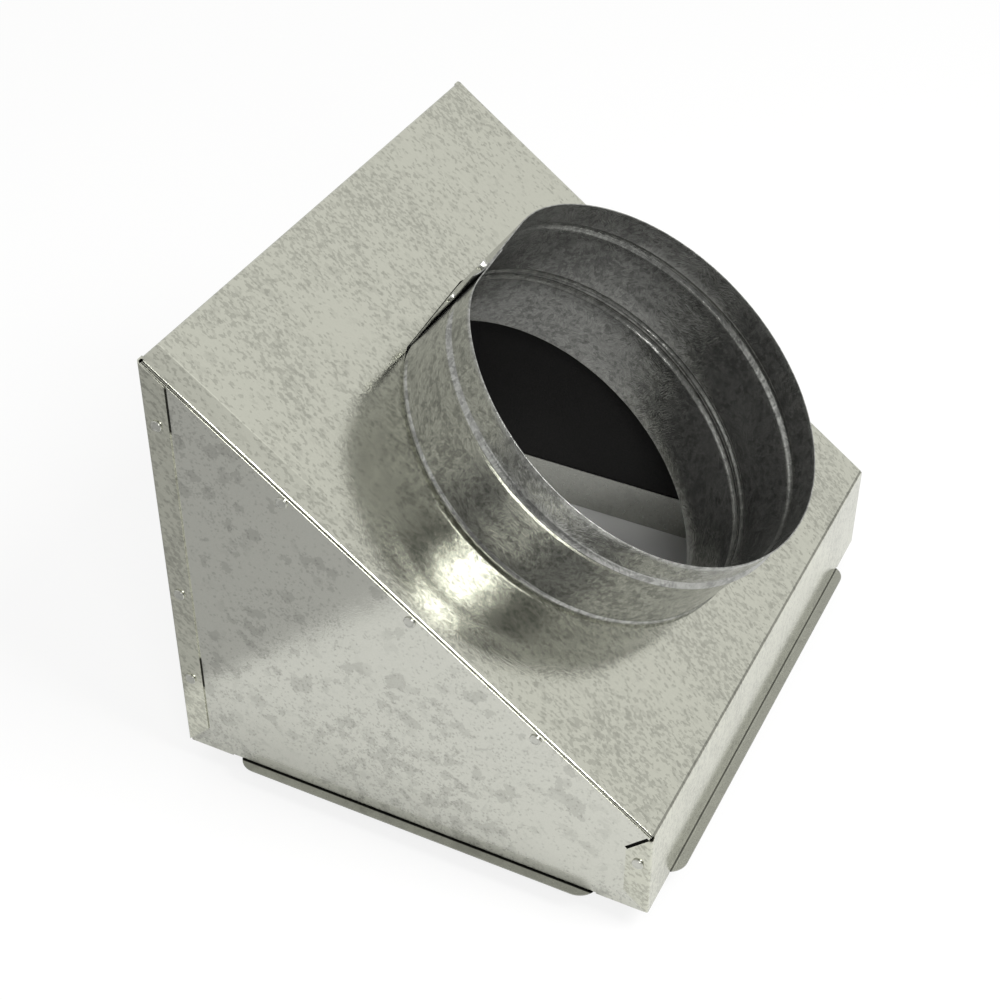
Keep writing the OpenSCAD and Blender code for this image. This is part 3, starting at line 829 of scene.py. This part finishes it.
SHELL = shell_material()
PANEL = panel_material()
COLLAR, tree, shader, _ = zinc_material(
    "collar_zinc", (0.52, 0.525, 0.495), (0.17, 0.24), uv=True,
    fleck=(440.0, 0.38, 0.30), blotch=(220.0, 0.38, 0.12), feather=(120.0, 0.34),
    grain=0.14, relief=0.09, wave=0.01,
)
shader.inputs["Metallic"].default_value = 0.84
RAIL = rail_material()
BUTTON, *_ = zinc_material(
    "button_zinc", (0.66, 0.665, 0.61), (0.28, 0.36),
    fleck=(700.0, 0.10, 0.10), blotch=(300.0, 0.1, 0.06), grain=0.10,
)


def liner_material():
    """Black facing pressed on to fibre board."""
    material, tree, shader = new_material("liner_facing")
    where = add(tree, "ShaderNodeTexCoord").outputs["Object"]
    fibre = add(tree, "ShaderNodeTexNoise", {"Scale": 900.0, "Detail": 3.0, "Roughness": 0.7})
    join(tree, where, fibre.inputs["Vector"])
    darkest = (0.006, 0.006, 0.006, 1)
    palest = (0.022, 0.021, 0.020, 1)
    colour = ramp(tree, fibre.outputs["Fac"], [(0.3, darkest), (0.75, palest)])
    join(tree, colour, shader.inputs["Base Color"])
    rough = ramp(tree, fibre.outputs["Fac"], [(0.2, 0.85), (0.8, 0.98)])
    join(tree, rough, shader.inputs["Roughness"])
    bump = add(tree, "ShaderNodeBump", {"Strength": 0.4, "Distance": 0.0006})
    join(tree, fibre.outputs["Fac"], bump.inputs["Height"])
    join(tree, bump.outputs[0], shader.inputs["Normal"])
    return material


LINER = liner_material()


def finish_with(piece, material):
    piece.data.materials.clear()
    piece.data.materials.append(material)


finish_with(collar, COLLAR)
for name, piece in nodes.items():
    if name == "wrap_sheet":
        finish_with(piece, SHELL)
    elif name.startswith("side_panel"):
        finish_with(piece, PANEL)
    elif name.startswith("rail"):
        finish_with(piece, RAIL)
    elif name.startswith("clinch"):
        finish_with(piece, BUTTON)
for board in boards:
    finish_with(board, LINER)


# Stage, light and camera

FLOOR_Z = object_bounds()[0][2]
FLOOR_SIZE = 12
FLOOR_GAP = 0.2 * MM
# Half the width and half the depth of the ground that is seen through the opening
OPENING_HALF = (("X", 126 * MM), ("Y", 101 * MM))
PAPER = (0.88, 0.88, 0.87, 1)
# Tones of the paper that the steel mirrors: near the box, and past a line behind it
NEAR_TONE = 0.64
FAR_TONE = 0.38
FAR_WAY = (-0.491, 0.871, 0.0)
FAR_LINE = (226 * MM, 238 * MM)
# Share of that tone far in front of the box, and the depths between which it rises to all of it
AHEAD_SHARE = 0.35
AHEAD_LINE = (-500 * MM, -360 * MM)
# Share of plain white in what the camera sees of the paper around the opening
WHITE_SHARE = 0.82
# Colour sockets of a Mix node, whose names repeat
MIX_A, MIX_B = 6, 7
CURTAIN_AT = (-1.55, -0.95, 1.0)
CURTAIN_SIZE = (3.0, 2.3)
CURTAIN_TONE = 0.11
# Strength of the world's light, and of the world that the camera sees
SKY_LIGHT = 0.78
SKY_SHOWN = 1.0
# The camera's place and the way to it from the box, and the lens in picture widths
CAMERA_AT = (-0.6928, -0.3160, 0.6952)
AZIMUTH = math.radians(-63.771)
ELEVATION = math.radians(38.374)
ROLL = math.radians(0.184)
LENS = 1.8834
SENSOR_MM = 36


def floor_material():
    """White paper: nearly plain white to the camera around the opening, with a soft shadow.

    What polished steel mirrors from far behind or far in front of the box is darker.
    """
    material, tree, shader = new_material("floor_paper")
    tree.nodes.remove(shader)
    out = tree.nodes["Material Output"]
    where = add(tree, "ShaderNodeTexCoord").outputs["Object"]
    place_of = add(tree, "ShaderNodeSeparateXYZ")
    join(tree, where, place_of.inputs[0])
    rays = add(tree, "ShaderNodeLightPath")

    # 1 in the opening and 0 around it
    sides = []
    for axis, half in OPENING_HALF:
        size = add(tree, "ShaderNodeMath", operation="ABSOLUTE")
        join(tree, place_of.outputs[axis], size.inputs[0])
        under = add(tree, "ShaderNodeMath", {1: half}, operation="LESS_THAN")
        join(tree, size.outputs[0], under.inputs[0])
        sides.append(under.outputs[0])
    inside = add(tree, "ShaderNodeMath", operation="MULTIPLY")
    join(tree, sides[0], inside.inputs[0])
    join(tree, sides[1], inside.inputs[1])

    # Darker past the line behind the box, and far in front of it
    beyond = add(tree, "ShaderNodeVectorMath", {1: FAR_WAY}, operation="DOT_PRODUCT")
    join(tree, where, beyond.inputs[0])
    dark = add(tree, "ShaderNodeMapRange", {
        "From Min": FAR_LINE[0], "From Max": FAR_LINE[1], "To Min": NEAR_TONE, "To Max": FAR_TONE,
    })
    join(tree, beyond.outputs["Value"], dark.inputs["Value"])
    ahead = add(tree, "ShaderNodeMapRange", {
        "From Min": AHEAD_LINE[0], "From Max": AHEAD_LINE[1], "To Min": AHEAD_SHARE,
    })
    join(tree, place_of.outputs["Y"], ahead.inputs["Value"])
    both = times(tree, dark.outputs[0], ahead.outputs[0])
    grey = add(tree, "ShaderNodeCombineColor")
    for channel in ("Red", "Green", "Blue"):
        join(tree, both, grey.inputs[channel])
    paper = add(tree, "ShaderNodeBsdfDiffuse")
    tint = add(tree, "ShaderNodeMix", {MIX_A: PAPER}, data_type="RGBA")
    join(tree, rays.outputs["Is Glossy Ray"], tint.inputs[0])
    join(tree, grey.outputs[0], tint.inputs[MIX_B])
    join(tree, tint.outputs[2], paper.inputs["Color"])

    glow = add(tree, "ShaderNodeEmission", {"Color": (1, 1, 1, 1), "Strength": 1.0})
    around = add(tree, "ShaderNodeMath", {0: 1.0}, operation="SUBTRACT")
    join(tree, inside.outputs[0], around.inputs[1])
    share = add(tree, "ShaderNodeMath", {1: WHITE_SHARE}, operation="MULTIPLY")
    join(tree, rays.outputs["Is Camera Ray"], share.inputs[0])
    shown = add(tree, "ShaderNodeMath", operation="MULTIPLY")
    join(tree, share.outputs[0], shown.inputs[0])
    join(tree, around.outputs[0], shown.inputs[1])
    mix = add(tree, "ShaderNodeMixShader")
    join(tree, shown.outputs[0], mix.inputs[0])
    join(tree, paper.outputs[0], mix.inputs[1])
    join(tree, glow.outputs[0], mix.inputs[2])
    join(tree, mix.outputs[0], out.inputs["Surface"])
    return material


deselect()
bpy.ops.mesh.primitive_plane_add(size=FLOOR_SIZE, location=(0, 0, FLOOR_Z - FLOOR_GAP))
floor = bpy.context.object
floor.name = "floor"
finish_with(floor, floor_material())


def toward(location, target):
    """Rotation that turns an object's -Z from its location towards a target."""
    return (Vector(target) - Vector(location)).to_track_quat("-Z", "Y").to_euler()


# The dark side of the studio, behind the camera: polished steel shows it
deselect()
bpy.ops.mesh.primitive_plane_add(
    size=1, location=CURTAIN_AT, rotation=toward(CURTAIN_AT, (0, 0, 0.1))
)
curtain = bpy.context.object
curtain.name = "curtain"
bpy.ops.transform.resize(value=(*CURTAIN_SIZE, 1), orient_type="LOCAL")
cloth, tree, shader = new_material("curtain_cloth")
shader.inputs["Base Color"].default_value = (CURTAIN_TONE, CURTAIN_TONE, CURTAIN_TONE, 1)
shader.inputs["Roughness"].default_value = 1.0
finish_with(curtain, cloth)

world = bpy.data.worlds.new("studio")
scene.world = world
world.use_nodes = True
tree = world.node_tree
sky = tree.nodes["Background"]
sky.inputs["Color"].default_value = (1, 1, 1, 1)
rays = add(tree, "ShaderNodeLightPath")
level = add(tree, "ShaderNodeMapRange", {"To Min": SKY_LIGHT, "To Max": SKY_SHOWN})
join(tree, rays.outputs["Is Camera Ray"], level.inputs["Value"])
join(tree, level.outputs[0], sky.inputs["Strength"])


def area_light(name, location, target, size, power):
    data = bpy.data.lights.new(name, "AREA")
    data.shape = "RECTANGLE"
    data.size, data.size_y = size
    data.energy = power
    lamp = bpy.data.objects.new(name, data)
    scene.collection.objects.link(lamp)
    lamp.location = location
    lamp.rotation_euler = toward(location, target)
    return lamp


# A softbox beside the camera, in whose stead the wrapped sheet takes a weaker one
for name, place_at, power, state in (
    ("key", (-1.14, -0.86, 1.03), 9, "EXCLUDE"),
    ("key_shell", (-0.93, -0.93, 1.15), 1.8, "INCLUDE"),
):
    takers = bpy.data.collections.new(name + "_takers")
    takers.objects.link(nodes["wrap_sheet"])
    takers.collection_objects[0].light_linking.link_state = state
    key = area_light(name, place_at, target=(0, 0, 0.12), size=(0.55, 0.5), power=power)
    key.light_linking.receiver_collection = takers

# A softbox that looks down along the collar
area_light("top", (-0.05, -1.02, 1.32), target=(0, 0, 0.1), size=(0.7, 0.7), power=19)

back = Vector((
    math.sin(AZIMUTH) * math.cos(ELEVATION),
    -math.cos(AZIMUTH) * math.cos(ELEVATION),
    math.sin(ELEVATION),
))
right = Vector((0, 0, 1)).cross(back).normalized()
above = back.cross(right)
right, above = (
    math.cos(ROLL) * right + math.sin(ROLL) * above,
    -math.sin(ROLL) * right + math.cos(ROLL) * above,
)
lens = bpy.data.cameras.new("camera")
lens.sensor_width = SENSOR_MM
lens.lens = SENSOR_MM * LENS
lens.clip_start = 0.01
camera = bpy.data.objects.new("camera", lens)
scene.collection.objects.link(camera)
turned = Matrix((right, above, back)).transposed().to_4x4()
camera.matrix_world = Matrix.Translation(CAMERA_AT) @ turned
scene.camera = camera

scene.view_settings.view_transform = "Standard"
